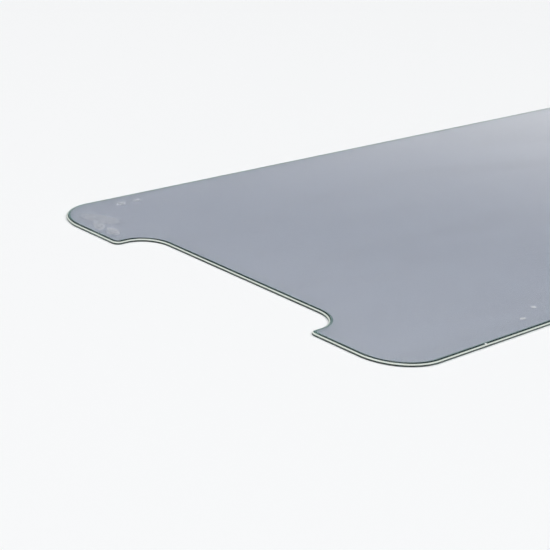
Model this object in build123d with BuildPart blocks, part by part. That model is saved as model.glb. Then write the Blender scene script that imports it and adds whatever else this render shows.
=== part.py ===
# Tempered glass screen protector, in millimetres: one clear flat sheet with rounded corners and a wide
# notch in its top end. The top rim is ground to a rounded edge, all the way round and through the notch.
# The underside lies on z = 0, the origin is its centre, and the notch is at the +Y end.
from build123d import *
import os

# Outline of the sheet, in plan
width = 62.5  # side to side, along X
length = 135.2  # end to end, along Y
corner_radius = 6.5  # the four outer corners

# Notch in the top end
notch_width = 34.0  # between its two upright flanks
notch_depth = 5.6  # from the end of the sheet to the floor of the notch
notch_floor_radius = 3.75  # the hollow corner between each flank and the floor
ear_radius = 0.87  # the rounded tip of the ear on each side of the notch

# Section through the sheet and its edge
thickness = 0.40  # glass with its bonding film
wall_height = 0.17  # upright ground wall that is left below the rounded edge
edge_width = 0.50  # how far the rounded edge reaches in from the wall
underside_chamfer = 0.04  # broken corner between the wall and the underside

# Places that follow from those sizes
end_y = length / 2
edge_drop = thickness - wall_height
cutter_margin = thickness  # how far the edge cutter stands clear of the glass


with BuildPart() as screen_protector:
    # Plain sheet: a rounded rectangle, less half of a smaller one that is centred on its top end
    with BuildSketch() as outline:
        RectangleRounded(width, length, corner_radius)
        with Locations((0, end_y)):
            RectangleRounded(notch_width, 2 * notch_depth, notch_floor_radius, mode=Mode.SUBTRACT)
        ear_tips = outline.vertices().group_by(Axis.Y)[-1].sort_by(Axis.X)[1:-1]
        fillet(ear_tips, ear_radius)
    extrude(amount=thickness)

    # Rounded edge: a quarter ellipse, tangent to the top face, carried round the whole outline
    rim = outline.face().outer_wire()
    along_rim = rim % 0
    into_sheet = Vector(0, 0, 1).cross(along_rim)
    with BuildSketch(Plane(origin=rim @ 0, x_dir=into_sheet, z_dir=along_rim)) as edge_cutter:
        with BuildLine():
            crown = EllipticalCenterArc((edge_width, wall_height), edge_width, edge_drop, 90, arc_size=90)
            over_top = (edge_width, thickness + cutter_margin)
            outside_top = (-cutter_margin, thickness + cutter_margin)
            outside_wall = (-cutter_margin, wall_height)
            Polyline(crown @ 0, over_top, outside_top, outside_wall, crown @ 1)
        make_face()
    sweep(sections=edge_cutter.sketch, path=rim, mode=Mode.SUBTRACT)

    # Broken lower corner
    underside = screen_protector.faces().sort_by(Axis.Z)[0]
    chamfer(underside.edges(), underside_chamfer)

screen_protector.part.label = "screen_protector"

os.makedirs("parts", exist_ok=True)
export_step(screen_protector.part, "parts/screen_protector.step")
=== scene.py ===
"""Looks of a screen protector: one clear sheet of tempered glass with a ground edge, in a plain studio."""

import logging
import math
from dataclasses import dataclass
from enum import Enum
from typing import Any, Iterable

import bmesh
import bpy
from mathutils import Matrix, Vector


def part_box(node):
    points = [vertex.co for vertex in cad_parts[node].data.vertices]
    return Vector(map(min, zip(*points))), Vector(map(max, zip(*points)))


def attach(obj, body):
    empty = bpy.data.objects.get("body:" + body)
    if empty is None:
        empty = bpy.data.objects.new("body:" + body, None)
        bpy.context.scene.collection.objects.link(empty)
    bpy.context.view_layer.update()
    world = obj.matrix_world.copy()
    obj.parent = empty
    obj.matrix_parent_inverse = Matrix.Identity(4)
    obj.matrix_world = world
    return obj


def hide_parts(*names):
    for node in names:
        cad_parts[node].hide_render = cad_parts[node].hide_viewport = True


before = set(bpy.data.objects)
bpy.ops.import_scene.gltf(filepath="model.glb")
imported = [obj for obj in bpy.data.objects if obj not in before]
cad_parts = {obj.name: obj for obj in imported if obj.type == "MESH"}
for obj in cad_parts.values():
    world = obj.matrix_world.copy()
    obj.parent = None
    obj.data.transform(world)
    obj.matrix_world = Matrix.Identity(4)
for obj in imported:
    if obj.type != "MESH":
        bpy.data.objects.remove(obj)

LOG = logging.getLogger("screen_protector")
MM = 0.001
BODY = "root"

# Numbers of a Mix node's colour sockets
MIX_SHARE = 0
MIX_FROM = 6
MIX_TO = 7
MIX_RESULT = 2


class Surface(Enum):
    """The finishes of the sheet, by the material slot that holds each."""

    POLISHED = 0
    ROUNDED = 1
    ARRIS = 2
    WALL = 3


def linear(colour: str) -> tuple[float, float, float, float]:
    """Turns an sRGB hex colour into Blender's linear colour.

    Args:
        colour: six hex digits, with or without a leading hash.

    Returns:
        Linear red, green and blue, and an alpha of 1.
    """
    digits = colour.lstrip("#")
    parts = [int(digits[i : i + 2], 16) / 255 for i in (0, 2, 4)]
    red, green, blue = [p / 12.92 if p <= 0.04045 else ((p + 0.055) / 1.055) ** 2.4 for p in parts]
    return red, green, blue, 1.0


def add_node(
    tree: bpy.types.NodeTree,
    kind: str,
    values: dict[str | int, Any] | None = None,
    links: dict[str | int, bpy.types.NodeSocket] | None = None,
    **settings: Any,
) -> bpy.types.Node:
    """Adds one node to a tree, with its settings, its input values and its links.

    Args:
        tree: node tree that gets the node.
        kind: Blender's class name of the node.
        values: plain value of each input that is set, by the input's name or number.
        links: output socket that feeds each linked input, by the input's name or number.
        settings: the node's own properties.

    Returns:
        The new node.
    """
    node = tree.nodes.new(kind)
    for name, value in settings.items():
        setattr(node, name, value)
    for key, value in (values or {}).items():
        node.inputs[key].default_value = value
    for key, socket in (links or {}).items():
        tree.links.new(socket, node.inputs[key])
    return node


def towards(azimuth: float, elevation: float) -> Vector:
    """Gives the direction from the sheet to a place around it, with azimuth 0 at -Y and 90 at +X.

    Args:
        azimuth: angle round the sheet, in degrees.
        elevation: angle above the floor, in degrees.

    Returns:
        A direction of length 1.
    """
    turn, rise = math.radians(azimuth), math.radians(elevation)
    return Vector((math.sin(turn) * math.cos(rise), -math.cos(turn) * math.cos(rise), math.sin(rise)))


def new_material(name: str) -> tuple[bpy.types.Material, bpy.types.NodeTree]:
    """Makes an empty node material.

    Args:
        name: the material's name.

    Returns:
        The material and its emptied node tree.
    """
    material = bpy.data.materials.new(name)
    material.use_nodes = True
    material.node_tree.nodes.clear()
    return material, material.node_tree


@dataclass(frozen=True)
class Mark:
    """One smudge, speck or chip: an oval patch with a soft border. Sizes are in millimetres."""

    centre: tuple[float, float, float]
    half_length: float
    half_width: float
    turn_deg: float = 0.0
    core: float = 0.5
    strength: float = 1.0

    def mask(self, tree: bpy.types.NodeTree, place: bpy.types.NodeSocket) -> bpy.types.NodeSocket:
        """Draws the patch in a material.

        Args:
            tree: node tree of the material.
            place: Object coordinates.

        Returns:
            The patch's strength in its core, which falls off to 0 at its border.
        """
        oval = add_node(
            tree,
            "ShaderNodeMapping",
            {
                "Location": Vector(self.centre) * MM,
                "Rotation": (0, 0, math.radians(self.turn_deg)),
                "Scale": Vector((self.half_length, self.half_width, self.half_width)) * MM,
            },
            {"Vector": place},
            vector_type="TEXTURE",
        )
        links = {0: oval.outputs["Vector"]}
        reach = add_node(tree, "ShaderNodeVectorMath", links=links, operation="LENGTH")
        fade = add_node(
            tree,
            "ShaderNodeMapRange",
            {"From Min": 1.0, "From Max": self.core, "To Max": self.strength},
            {"Value": reach.outputs["Value"]},
            interpolation_type="SMOOTHSTEP",
        )
        return fade.outputs["Result"]


@dataclass(frozen=True)
class PolishedGlass:
    """Float glass, tempered and polished: clear and cool, with faint finger smudges and a little dust."""

    # The eye looks through it to the floor, and at a low angle sees the surroundings in it as in a mirror.
    # A film of grease only dulls that mirror, and thicker grease and dust show as paler spots. The streaks
    # in a finger mark are as fine as the ridges of a finger, about half a millimetre.
    name: str = "polished_tempered_glass"
    tint: str = "#F3F5F9"
    residue: str = "#FCFCFE"
    ior: float = 1.52
    clean_roughness: float = 0.012
    smudged_roughness: float = 0.06
    smudge_size_mm: float = 9.0
    smudge_detail: float = 5.0
    smudge_grain: float = 0.62
    smudge_swirl: float = 0.8
    smudge_range: tuple[float, float] = (0.52, 0.80)
    streak_size_mm: float = 0.6
    streak_detail: float = 4.0
    streak_grain: float = 0.7
    streak_range: tuple[float, float] = (0.36, 0.66)
    film_between: float = 0.55
    wipe_length_mm: float = 45.0
    wipe_width_mm: float = 9.0
    wipe_turn_deg: float = -12.0
    wipe_detail: float = 6.0
    wipe_grain: float = 0.6
    wipe_swirl: float = 0.3
    wipe_range: tuple[float, float] = (0.48, 0.78)
    wipe_haze: float = 0.025
    finger_marks: tuple[Mark, ...] = (
        Mark((20.6, 65.1, 0.4), 1.9, 1.0, -20.0, core=0.5, strength=0.34),
        Mark((23.2, 65.3, 0.4), 2.2, 1.0, -35.0, core=0.5, strength=0.30),
        Mark((25.2, 63.4, 0.4), 3.6, 1.9, 25.0, core=0.5, strength=0.26),
        Mark((28.6, 56.9, 0.4), 0.7, 1.1, 12.0, core=0.5, strength=0.37),
        Mark((28.6, 54.2, 0.4), 0.6, 0.9, -15.0, core=0.5, strength=0.36),
    )
    dust: tuple[Mark, ...] = (
        Mark((-27.0, 38.3, 0.4), 0.38, 0.32, 60.0, core=0.85, strength=0.8),
        Mark((-28.6, 42.6, 0.4), 0.56, 0.24, 80.0, core=0.85, strength=0.65),
    )

    def material(self) -> bpy.types.Material:
        """Makes the material.

        Returns:
            Clear glass whose gloss dulls in faint smudges, with finger marks and two specks on it.
        """
        material, tree = new_material(self.name)
        place = add_node(tree, "ShaderNodeTexCoord").outputs["Object"]
        smudges = add_node(
            tree,
            "ShaderNodeTexNoise",
            {
                "Scale": 1 / (self.smudge_size_mm * MM),
                "Detail": self.smudge_detail,
                "Roughness": self.smudge_grain,
                "Distortion": self.smudge_swirl,
            },
            {"Vector": place},
        )
        thinnest, thickest = self.smudge_range
        gloss = add_node(
            tree,
            "ShaderNodeMapRange",
            {
                "From Min": thinnest,
                "From Max": thickest,
                "To Min": self.clean_roughness,
                "To Max": self.smudged_roughness,
            },
            {"Value": smudges.outputs["Fac"]},
        )
        dirt = self.residue_mask(tree, place)
        colour = add_node(
            tree,
            "ShaderNodeMix",
            {MIX_FROM: linear(self.tint), MIX_TO: linear(self.residue)},
            {MIX_SHARE: dirt},
            data_type="RGBA",
        )
        clearness = add_node(tree, "ShaderNodeMath", {0: 1.0}, {1: dirt}, operation="SUBTRACT")
        glass = add_node(
            tree,
            "ShaderNodeBsdfPrincipled",
            {"IOR": self.ior},
            {
                "Base Color": colour.outputs[MIX_RESULT],
                "Roughness": gloss.outputs["Result"],
                "Transmission Weight": clearness.outputs[0],
            },
        )
        add_node(tree, "ShaderNodeOutputMaterial", links={"Surface": glass.outputs["BSDF"]})
        return material

    def residue_mask(self, tree: bpy.types.NodeTree, place: bpy.types.NodeSocket) -> bpy.types.NodeSocket:
        """Says where something lies on the glass.

        Args:
            tree: node tree of the material.
            place: Object coordinates.

        Returns:
            A value from 0 on clean glass to 1 on a speck of dust.
        """
        streaks = add_node(
            tree,
            "ShaderNodeTexNoise",
            {
                "Scale": 1 / (self.streak_size_mm * MM),
                "Detail": self.streak_detail,
                "Roughness": self.streak_grain,
            },
            {"Vector": place},
        )
        bare, greasy = self.streak_range
        grease = add_node(
            tree,
            "ShaderNodeMapRange",
            {"From Min": bare, "From Max": greasy, "To Min": self.film_between},
            {"Value": streaks.outputs["Fac"]},
        )
        dirt = self.wipe_marks(tree, place)
        for mark in self.finger_marks:
            links = {0: mark.mask(tree, place), 1: grease.outputs["Result"]}
            smear = add_node(tree, "ShaderNodeMath", links=links, operation="MULTIPLY")
            links = {0: dirt, 1: smear.outputs[0]}
            dirt = add_node(tree, "ShaderNodeMath", links=links, operation="MAXIMUM").outputs[0]
        for speck in self.dust:
            links = {0: dirt, 1: speck.mask(tree, place)}
            dirt = add_node(tree, "ShaderNodeMath", links=links, operation="MAXIMUM").outputs[0]
        return dirt

    def wipe_marks(self, tree: bpy.types.NodeTree, place: bpy.types.NodeSocket) -> bpy.types.NodeSocket:
        """Draws the thin haze that a cloth leaves, in long strokes.

        Args:
            tree: node tree of the material.
            place: Object coordinates.

        Returns:
            A value from 0 on clean glass up to the haze of the strongest stroke.
        """
        stroke = add_node(
            tree,
            "ShaderNodeMapping",
            {
                "Rotation": (0, 0, math.radians(self.wipe_turn_deg)),
                "Scale": Vector((self.wipe_width_mm, self.wipe_length_mm, self.wipe_width_mm)) * MM,
            },
            {"Vector": place},
            vector_type="TEXTURE",
        )
        strokes = add_node(
            tree,
            "ShaderNodeTexNoise",
            {
                "Scale": 1.0,
                "Detail": self.wipe_detail,
                "Roughness": self.wipe_grain,
                "Distortion": self.wipe_swirl,
            },
            {"Vector": stroke.outputs["Vector"]},
        )
        faintest, strongest = self.wipe_range
        haze = add_node(
            tree,
            "ShaderNodeMapRange",
            {"From Min": faintest, "From Max": strongest, "To Max": self.wipe_haze},
            {"Value": strokes.outputs["Fac"]},
        )
        return haze.outputs["Result"]


@dataclass(frozen=True)
class EdgeGlassWithPaintedLight:
    """Edge of tempered glass off the grinding wheel: pale green, with grit marks and one opaque white
    spot, in colours that also paint the edge's light and shade.
    """

    # The eye sees three lines. On the rounded edge, a deep green tint paints a darker line: painted shade
    # where the edge bends the light away. On the arris, a nearly opaque pale colour paints the edge's
    # highlight. In the wall below it, deep green paints the shade at the foot of the edge.
    # Real grit marks are about 0.02 mm across. They are drawn coarser, so that they show.
    name: str
    pale: str
    deep: str
    clearness: float
    roughness: float
    ior: float = 1.52
    grit_mm: float = 0.12
    grit_detail: float = 3.0
    grit_grain: float = 0.6
    grit_depth_mm: float = 0.004
    grit_strength: float = 0.4
    # An opaque white spot on the edge.
    white_spot: Mark = Mark((-31.06, 52.74, 0.32), 0.24, 0.2, 90.0)
    white_spot_colour: str = "#F6F8F6"

    def material(self) -> bpy.types.Material:
        """Makes the material.

        Returns:
            Edge glass with grit marks in its colour and its surface, a colour that also paints the edge's
            light and shade, and an opaque white spot.
        """
        material, tree = new_material(self.name)
        place = add_node(tree, "ShaderNodeTexCoord").outputs["Object"]
        grit = add_node(
            tree,
            "ShaderNodeTexNoise",
            {
                "Scale": 1 / (self.grit_mm * MM),
                "Detail": self.grit_detail,
                "Roughness": self.grit_grain,
            },
            {"Vector": place},
        )
        green = add_node(
            tree,
            "ShaderNodeMix",
            {MIX_FROM: linear(self.deep), MIX_TO: linear(self.pale)},
            {MIX_SHARE: grit.outputs["Fac"]},
            data_type="RGBA",
        )
        white_spot = self.white_spot.mask(tree, place)
        colour = add_node(
            tree,
            "ShaderNodeMix",
            {MIX_TO: linear(self.white_spot_colour)},
            {MIX_SHARE: white_spot, MIX_FROM: green.outputs[MIX_RESULT]},
            data_type="RGBA",
        )
        clearness = add_node(
            tree,
            "ShaderNodeMapRange",
            {"To Min": self.clearness, "To Max": 0.0},
            {"Value": white_spot},
        )
        bump = add_node(
            tree,
            "ShaderNodeBump",
            {"Strength": self.grit_strength, "Distance": self.grit_depth_mm * MM},
            {"Height": grit.outputs["Fac"]},
        )
        glass = add_node(
            tree,
            "ShaderNodeBsdfPrincipled",
            {"IOR": self.ior, "Roughness": self.roughness},
            {
                "Base Color": colour.outputs[MIX_RESULT],
                "Transmission Weight": clearness.outputs["Result"],
                "Normal": bump.outputs["Normal"],
            },
        )
        add_node(tree, "ShaderNodeOutputMaterial", links={"Surface": glass.outputs["BSDF"]})
        return material


@dataclass(frozen=True)
class PaintedBoard:
    """Matt white board under the sheet."""

    name: str = "matt_painted_board"
    colour: str = "#F9FAFB"
    roughness: float = 0.9

    def material(self) -> bpy.types.Material:
        """Makes the material.

        Returns:
            A plain matt pale material.
        """
        material, tree = new_material(self.name)
        board = add_node(
            tree,
            "ShaderNodeBsdfPrincipled",
            {"Base Color": linear(self.colour), "Roughness": self.roughness, "Specular IOR Level": 0.0},
        )
        add_node(tree, "ShaderNodeOutputMaterial", links={"Surface": board.outputs["BSDF"]})
        return material


@dataclass
class GlassSheet:
    """The whole sheet, in millimetres, with its underside on z = 0 and its notch at the +Y end."""

    width: float
    length: float
    thickness: float
    node: str = "screen_protector"
    slot: str = "clear_tempered_glass"
    corner_radius: float = 6.5
    notch_width: float = 34.0
    notch_depth: float = 5.6
    notch_floor_radius: float = 3.75
    ear_radius: float = 0.87
    wall_height: float = 0.17
    edge_width: float = 0.50
    underside_chamfer: float = 0.04
    margin: float = 0.03
    corner_steps: int = 28
    ear_steps: int = 14
    edge_steps: int = 10
    rim_reach: float = 0.01
    flat_deg: float = 1.0
    sharp_deg: float = 25.0
    arris_lean: float = 0.90
    wall_lean: float = 0.25

    @classmethod
    def from_frame(cls, node: str = "screen_protector") -> "GlassSheet":
        """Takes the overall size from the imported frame.

        Args:
            node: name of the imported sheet.

        Returns:
            A sheet of that size.
        """
        low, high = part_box(node)
        size = (high - low) / MM
        return cls(width=size.x, length=size.y, thickness=size.z, node=node)

    def build(self) -> bpy.types.Object:
        """Models the sheet and sets it in the frame.

        Returns:
            The finished object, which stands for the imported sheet.
        """
        bm = bmesh.new()
        self.cut_outline(bm)
        self.round_corners(bm)
        self.raise_walls(bm)
        self.round_edge(bm)
        self.break_underside(bm)
        self.mark_surfaces(bm)
        bmesh.ops.scale(bm, vec=(MM, MM, MM), verts=bm.verts)
        mesh = bpy.data.meshes.new("glass_sheet")
        bm.to_mesh(mesh)
        bm.free()
        sheet = bpy.data.objects.new("glass_sheet", mesh)
        bpy.context.scene.collection.objects.link(sheet)
        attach(sheet, BODY)
        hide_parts(self.node)
        return sheet

    def cut_outline(self, bm: bmesh.types.BMesh) -> None:
        """Starts from a plain rectangle and takes the square notch out of its +Y end.

        Args:
            bm: the empty mesh, which becomes the flat outline with square corners.
        """
        half_notch = self.notch_width / 2
        floor_y = self.length / 2 - self.notch_depth
        bmesh.ops.create_grid(bm, x_segments=1, y_segments=1, size=0.5)
        bmesh.ops.scale(bm, vec=(self.width, self.length, 1), verts=bm.verts)
        for point, normal in (
            ((-half_notch, 0, 0), (1, 0, 0)),
            ((half_notch, 0, 0), (1, 0, 0)),
            ((0, floor_y, 0), (0, 1, 0)),
        ):
            geometry = [*bm.verts, *bm.edges, *bm.faces]
            bmesh.ops.bisect_plane(bm, geom=geometry, plane_co=point, plane_no=normal)
        centres = {face: face.calc_center_median() for face in bm.faces}
        notch = [face for face, at in centres.items() if abs(at.x) < half_notch and at.y > floor_y]
        bmesh.ops.delete(bm, geom=notch, context="FACES")
        bmesh.ops.dissolve_limit(
            bm, angle_limit=math.radians(self.flat_deg), verts=bm.verts[:], edges=bm.edges[:]
        )

    def round_corners(self, bm: bmesh.types.BMesh) -> None:
        """Rounds the four outer corners, the two hollow corners of the notch and the two ear tips.

        Args:
            bm: the flat outline.
        """
        notch_x = self.notch_width / 2
        floor_y = self.length / 2 - self.notch_depth
        outer = [v for v in bm.verts if abs(v.co.x) > notch_x + self.ear_radius]
        hollow = [v for v in bm.verts if v not in outer and v.co.y < floor_y + self.ear_radius]
        ears = [v for v in bm.verts if v not in outer and v not in hollow]
        self.round_points(bm, outer, self.corner_radius, self.corner_steps)
        self.round_points(bm, hollow, self.notch_floor_radius, self.corner_steps)
        self.round_points(bm, ears, self.ear_radius, self.ear_steps)

    def round_points(
        self, bm: bmesh.types.BMesh, points: Iterable[bmesh.types.BMVert], radius: float, steps: int
    ) -> None:
        """Turns square corners of the outline into quarter circles.

        Args:
            bm: the flat outline.
            points: its square corners.
            radius: radius of each quarter circle.
            steps: straight steps in each quarter circle.
        """
        bmesh.ops.bevel(
            bm,
            geom=list(points),
            offset=radius,
            offset_type="OFFSET",
            affect="VERTICES",
            segments=steps,
            profile=0.5,
            material=-1,
        )

    def raise_walls(self, bm: bmesh.types.BMesh) -> None:
        """Gives the outline its thickness.

        Args:
            bm: the flat outline, which becomes the plain sheet.
        """
        raised = bmesh.ops.extrude_face_region(bm, geom=bm.faces[:])["geom"]
        top = [part for part in raised if isinstance(part, bmesh.types.BMVert)]
        bmesh.ops.translate(bm, vec=(0, 0, self.thickness), verts=top)
        bmesh.ops.recalc_face_normals(bm, faces=bm.faces[:])

    def rim(self, bm: bmesh.types.BMesh, height: float) -> list[bmesh.types.BMEdge]:
        """Finds the edges that run round the sheet at one height.

        Args:
            bm: the sheet.
            height: height above the underside.

        Returns:
            The edges of that rim.
        """
        return [e for e in bm.edges if all(abs(v.co.z - height) < self.rim_reach for v in e.verts)]

    def round_edge(self, bm: bmesh.types.BMesh) -> None:
        """Rounds the top rim to a quarter ellipse: a round bevel, made on the sheet stretched upwards.

        Args:
            bm: the plain sheet.
        """
        stretch = self.edge_width / (self.thickness - self.wall_height)
        top_rim = self.rim(bm, self.thickness)
        bmesh.ops.scale(bm, vec=(1, 1, stretch), verts=bm.verts)
        bmesh.ops.bevel(
            bm,
            geom=top_rim,
            offset=self.edge_width,
            offset_type="OFFSET",
            affect="EDGES",
            segments=self.edge_steps,
            profile=0.5,
            material=-1,
        )
        bmesh.ops.scale(bm, vec=(1, 1, 1 / stretch), verts=bm.verts)

    def break_underside(self, bm: bmesh.types.BMesh) -> None:
        """Chamfers the lower rim, and gives both faces a flat margin that keeps their shading even.

        Args:
            bm: the sheet with its rounded edge.
        """
        bmesh.ops.bevel(
            bm,
            geom=self.rim(bm, 0),
            offset=self.underside_chamfer,
            offset_type="OFFSET",
            affect="EDGES",
            segments=1,
            profile=0.5,
            material=-1,
        )
        broad = self.broad_faces(bm)
        bmesh.ops.inset_region(bm, faces=broad, thickness=self.margin, use_even_offset=True)

    def broad_faces(self, bm: bmesh.types.BMesh) -> list[bmesh.types.BMFace]:
        """Finds the top face and the underside, which are by far the largest two."""
        return sorted(bm.faces, key=lambda face: face.calc_area())[-2:]

    def mark_surfaces(self, bm: bmesh.types.BMesh) -> None:
        """Tells the faces, the rounded edge, its arris and the wall apart, and sets smooth shading.

        Args:
            bm: the finished sheet.
        """
        broad = self.broad_faces(bm)
        for face in bm.faces:
            lean = face.normal.z
            if abs(lean) > math.cos(math.radians(self.flat_deg)):
                surface = Surface.POLISHED
            elif lean > self.arris_lean:
                surface = Surface.ROUNDED
            elif lean > self.wall_lean:
                surface = Surface.ARRIS
            else:
                surface = Surface.WALL
            face.material_index = surface.value
            face.smooth = face not in broad
        for edge in bm.edges:
            edge.smooth = edge.calc_face_angle(0) < math.radians(self.sharp_deg)

    def dress(
        self, sheet: bpy.types.Object, finishes: dict[Surface, PolishedGlass | EdgeGlassWithPaintedLight]
    ) -> None:
        """Gives each surface of the sheet its finish.

        Args:
            sheet: the modelled sheet.
            finishes: finish of each surface.
        """
        for surface in Surface:
            sheet.data.materials.append(finishes[surface].material())


@dataclass(frozen=True)
class Lamp:
    """One soft box, placed by its direction as a view is. Sizes are in millimetres, angles in degrees."""

    name: str
    azimuth: float
    elevation: float
    width: float
    height: float
    watts: float
    distance: float = 2400.0
    aim: tuple[float, float, float] = (0.0, 45.0, 0.0)

    def light(self) -> bpy.types.Object:
        """Hangs the lamp.

        Returns:
            The lamp's object.
        """
        data = bpy.data.lights.new(self.name, "AREA")
        data.shape = "RECTANGLE"
        data.size = self.width * MM
        data.size_y = self.height * MM
        data.energy = self.watts
        back = towards(self.azimuth, self.elevation)
        lamp = bpy.data.objects.new(self.name, data)
        lamp.location = (Vector(self.aim) + back * self.distance) * MM
        lamp.rotation_mode = "QUATERNION"
        lamp.rotation_quaternion = back.to_track_quat("Z", "Y")
        bpy.context.scene.collection.objects.link(lamp)
        return lamp


@dataclass
class Studio:
    """Floor, backdrop and lamps. Nothing of it is part of the sheet."""

    board: PaintedBoard
    lamps: tuple[Lamp, ...]
    floor_size: float = 4000.0
    floor_gap: float = 0.02
    ambient: float = 0.15
    backdrop: float = 1.0
    horizon: str = "#FFFFFF"
    overhead: str = "#445066"
    white_up_to: float = 19.1
    dark_from: float = 27.4
    lean: float = 8.0
    lean_azimuth: float = 43.0

    def build(self) -> bpy.types.Object:
        """Lays the floor and lights the scene.

        Returns:
            The floor.
        """
        bm = bmesh.new()
        bmesh.ops.create_grid(bm, x_segments=1, y_segments=1, size=self.floor_size / 2 * MM)
        bmesh.ops.translate(bm, vec=(0, 0, -self.floor_gap * MM), verts=bm.verts)
        mesh = bpy.data.meshes.new("studio_floor")
        bm.to_mesh(mesh)
        bm.free()
        floor = bpy.data.objects.new("studio_floor", mesh)
        floor.data.materials.append(self.board.material())
        bpy.context.scene.collection.objects.link(floor)
        for lamp in self.lamps:
            lamp.light()
        self.hang_backdrop()
        bpy.context.scene.view_settings.view_transform = "Standard"
        return floor

    def hang_backdrop(self) -> None:
        """Sets the world: even soft light, and for sight and reflections a backdrop that darkens upwards.

        The backdrop leans, so that its white reaches higher on the side away from the lean.
        """
        world = bpy.data.worlds.new("studio")
        bpy.context.scene.world = world
        world.use_nodes = True
        tree = world.node_tree
        tree.nodes.clear()
        direction = add_node(tree, "ShaderNodeTexCoord").outputs["Generated"]
        upright = towards(self.lean_azimuth, 90 - self.lean)
        height = add_node(
            tree, "ShaderNodeVectorMath", {1: upright}, {0: direction}, operation="DOT_PRODUCT"
        )
        rise = add_node(
            tree,
            "ShaderNodeMapRange",
            {
                "From Min": math.sin(math.radians(self.white_up_to)),
                "From Max": math.sin(math.radians(self.dark_from)),
            },
            {"Value": height.outputs["Value"]},
            interpolation_type="SMOOTHSTEP",
        )
        shade = add_node(
            tree,
            "ShaderNodeMix",
            {MIX_FROM: linear(self.horizon), MIX_TO: linear(self.overhead)},
            {MIX_SHARE: rise.outputs["Result"]},
            data_type="RGBA",
        )
        seen = add_node(
            tree,
            "ShaderNodeBackground",
            {"Strength": self.backdrop},
            {"Color": shade.outputs[MIX_RESULT]},
        )
        soft = add_node(
            tree, "ShaderNodeBackground", {"Color": linear(self.horizon), "Strength": self.ambient}
        )
        path = add_node(tree, "ShaderNodeLightPath")
        sight = add_node(
            tree,
            "ShaderNodeMath",
            links={0: path.outputs["Is Camera Ray"], 1: path.outputs["Is Glossy Ray"]},
            operation="MAXIMUM",
        )
        sight = add_node(
            tree,
            "ShaderNodeMath",
            links={0: sight.outputs[0], 1: path.outputs["Is Transmission Ray"]},
            operation="MAXIMUM",
        )
        mix = add_node(
            tree,
            "ShaderNodeMixShader",
            links={0: sight.outputs[0], 1: soft.outputs[0], 2: seen.outputs[0]},
        )
        add_node(tree, "ShaderNodeOutputWorld", links={"Surface": mix.outputs[0]})


@dataclass(frozen=True)
class ProductCamera:
    """The photograph's view. Lengths are in millimetres, angles in degrees."""

    place: tuple[float, float, float] = (-141.71, 207.50, 76.54)
    azimuth: float = 223.08
    elevation: float = 20.43
    roll: float = 5.49
    focal_length: float = 115.81
    frame_width: float = 36.0
    near_limit: float = 10.0
    far_limit: float = 20000.0

    def build(self) -> bpy.types.Object:
        """Sets up the camera and makes it the scene's.

        Returns:
            The camera's object.
        """
        azimuth, elevation, roll = (math.radians(a) for a in (self.azimuth, self.elevation, self.roll))
        data = bpy.data.cameras.new("product_camera")
        data.sensor_width = self.frame_width
        data.lens = self.focal_length
        data.clip_start = self.near_limit * MM
        data.clip_end = self.far_limit * MM
        camera = bpy.data.objects.new("product_camera", data)
        upright = Matrix.Rotation(azimuth, 4, "Z") @ Matrix.Rotation(math.pi / 2 - elevation, 4, "X")
        camera.matrix_world = (
            Matrix.Translation(Vector(self.place) * MM) @ upright @ Matrix.Rotation(roll, 4, "Z")
        )
        bpy.context.scene.collection.objects.link(camera)
        bpy.context.scene.camera = camera
        return camera


def main() -> None:
    """Builds the sheet, dresses it and sets up the studio and the camera."""
    logging.basicConfig(level=logging.INFO, format="%(name)s: %(message)s")
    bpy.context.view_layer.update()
    sheet = GlassSheet.from_frame()
    piece = sheet.build()
    finishes = {
        Surface.POLISHED: PolishedGlass(),
        # Rounded edge: the glass's green, deepened to paint a darker line of shade.
        Surface.ROUNDED: EdgeGlassWithPaintedLight(
            name="rounded_edge_green_and_painted_shade", pale="#A3C4B7", deep="#769E8F", clearness=0.94, roughness=0.06
        ),
        # Arris: a nearly opaque pale band, the painted highlight of the edge.
        Surface.ARRIS: EdgeGlassWithPaintedLight(
            name="arris_painted_highlight", pale="#EEF3EB", deep="#D3E0D5", clearness=0.10, roughness=0.40
        ),
        # Wall: the glass's own green, darkened to paint the shade at the foot of the edge.
        Surface.WALL: EdgeGlassWithPaintedLight(
            name="wall_green_and_painted_shade", pale="#557A71", deep="#38594F", clearness=0.85, roughness=0.15
        ),
    }
    sheet.dress(piece, finishes)
    LOG.info("%s: %d faces, replaces %s", piece.name, len(piece.data.polygons), sheet.node)
    lamps = (
        Lamp("back_box", azimuth=60, elevation=66, width=1400, height=1000, watts=12.0),
        Lamp("left_box", azimuth=-50, elevation=52, width=1400, height=1000, watts=16.4),
        Lamp("right_box", azimuth=150, elevation=52, width=1400, height=1000, watts=16.4),
        Lamp("front_box", azimuth=233, elevation=52, width=1280, height=1000, watts=18.0),
    )
    studio = Studio(PaintedBoard(), lamps)
    floor = studio.build()
    LOG.info("%s and %d lamps", floor.name, len(studio.lamps))
    view = ProductCamera()
    camera = view.build()
    LOG.info("%s at %.0f degrees", camera.name, view.azimuth)


if __name__ == "__main__":
    main()
